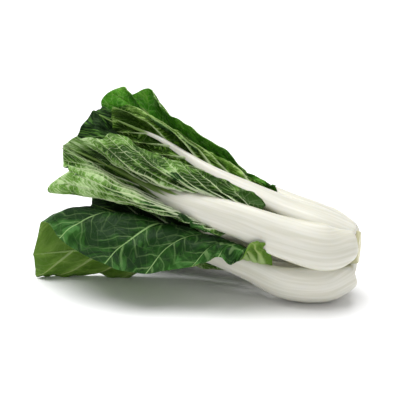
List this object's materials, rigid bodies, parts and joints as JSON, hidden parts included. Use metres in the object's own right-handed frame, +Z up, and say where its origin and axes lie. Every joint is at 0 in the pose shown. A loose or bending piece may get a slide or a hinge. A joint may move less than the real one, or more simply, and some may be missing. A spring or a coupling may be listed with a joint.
{
  "type": "bok choy",
  "caption": "Head of white-stalked bok choy lying on its side: thick white stalks spread from a cut stem into crinkled green leaves with white midribs and pale veins.",
  "frame": {"origin": "middle of the base of the bounding box, on the surface that the head lies on", "axes": "+X along the head towards the cut stem, +Z up"},
  "size_m": [0.2938, 0.1644, 0.1604],
  "materials": {
    "front_leaf_stalk": "smooth, faintly ribbed white stalk with a waxy sheen",
    "front_leaf_blade": "crinkled green leaf, pale underneath, with pale veins",
    "bottom_leaf_stalk": "smooth, faintly ribbed white stalk with a waxy sheen",
    "bottom_leaf_blade": "crinkled green leaf, pale underneath, with pale veins",
    "top_leaf_stalk": "smooth, faintly ribbed white stalk with a waxy sheen",
    "top_leaf_blade": "crinkled green leaf, pale underneath, with pale veins",
    "ridge_leaf_stalk": "smooth, faintly ribbed white stalk with a waxy sheen",
    "ridge_leaf_blade": "crinkled green leaf, pale underneath, with pale veins",
    "inner_top_leaf_stalk": "smooth, faintly ribbed white stalk with a waxy sheen",
    "inner_top_leaf_blade": "crinkled green leaf, pale underneath, with pale veins",
    "inner_front_leaf_stalk": "smooth, faintly ribbed white stalk with a waxy sheen",
    "inner_front_leaf_blade": "crinkled green leaf, pale underneath, with pale veins",
    "back_leaf_stalk": "smooth, faintly ribbed white stalk with a waxy sheen",
    "back_leaf_blade": "crinkled green leaf, pale underneath, with pale veins",
    "under_leaf_stalk": "smooth, faintly ribbed white stalk with a waxy sheen",
    "under_leaf_blade": "crinkled green leaf, pale underneath, with pale veins",
    "inner_back_leaf_stalk": "smooth, faintly ribbed white stalk with a waxy sheen",
    "inner_back_leaf_blade": "crinkled green leaf, pale underneath, with pale veins",
    "inner_under_leaf_stalk": "smooth, faintly ribbed white stalk with a waxy sheen",
    "inner_under_leaf_blade": "crinkled green leaf, pale underneath, with pale veins",
    "heart_leaf_stalk": "smooth, faintly ribbed white stalk with a waxy sheen",
    "heart_leaf_blade": "crinkled green leaf, pale underneath, with pale veins",
    "young_leaf_stalk": "smooth, faintly ribbed white stalk with a waxy sheen",
    "young_leaf_blade": "crinkled green leaf, pale underneath, with pale veins",
    "cut_stem": "cut plant tissue, slightly rough and moist"
  },
  "bodies": {
    "root": {"front_leaf_stalk": "front_leaf_stalk", "front_leaf_blade": "front_leaf_blade", "bottom_leaf_stalk": "bottom_leaf_stalk", "bottom_leaf_blade": "bottom_leaf_blade", "top_leaf_stalk": "top_leaf_stalk", "top_leaf_blade": "top_leaf_blade", "ridge_leaf_stalk": "ridge_leaf_stalk", "ridge_leaf_blade": "ridge_leaf_blade", "inner_top_leaf_stalk": "inner_top_leaf_stalk", "inner_top_leaf_blade": "inner_top_leaf_blade", "inner_front_leaf_stalk": "inner_front_leaf_stalk", "inner_front_leaf_blade": "inner_front_leaf_blade", "back_leaf_stalk": "back_leaf_stalk", "back_leaf_blade": "back_leaf_blade", "under_leaf_stalk": "under_leaf_stalk", "under_leaf_blade": "under_leaf_blade", "inner_back_leaf_stalk": "inner_back_leaf_stalk", "inner_back_leaf_blade": "inner_back_leaf_blade", "inner_under_leaf_stalk": "inner_under_leaf_stalk", "inner_under_leaf_blade": "inner_under_leaf_blade", "heart_leaf_stalk": "heart_leaf_stalk", "heart_leaf_blade": "heart_leaf_blade", "young_leaf_stalk": "young_leaf_stalk", "young_leaf_blade": "young_leaf_blade", "cut_stem": "cut_stem"}
  },
  "joints": []
}
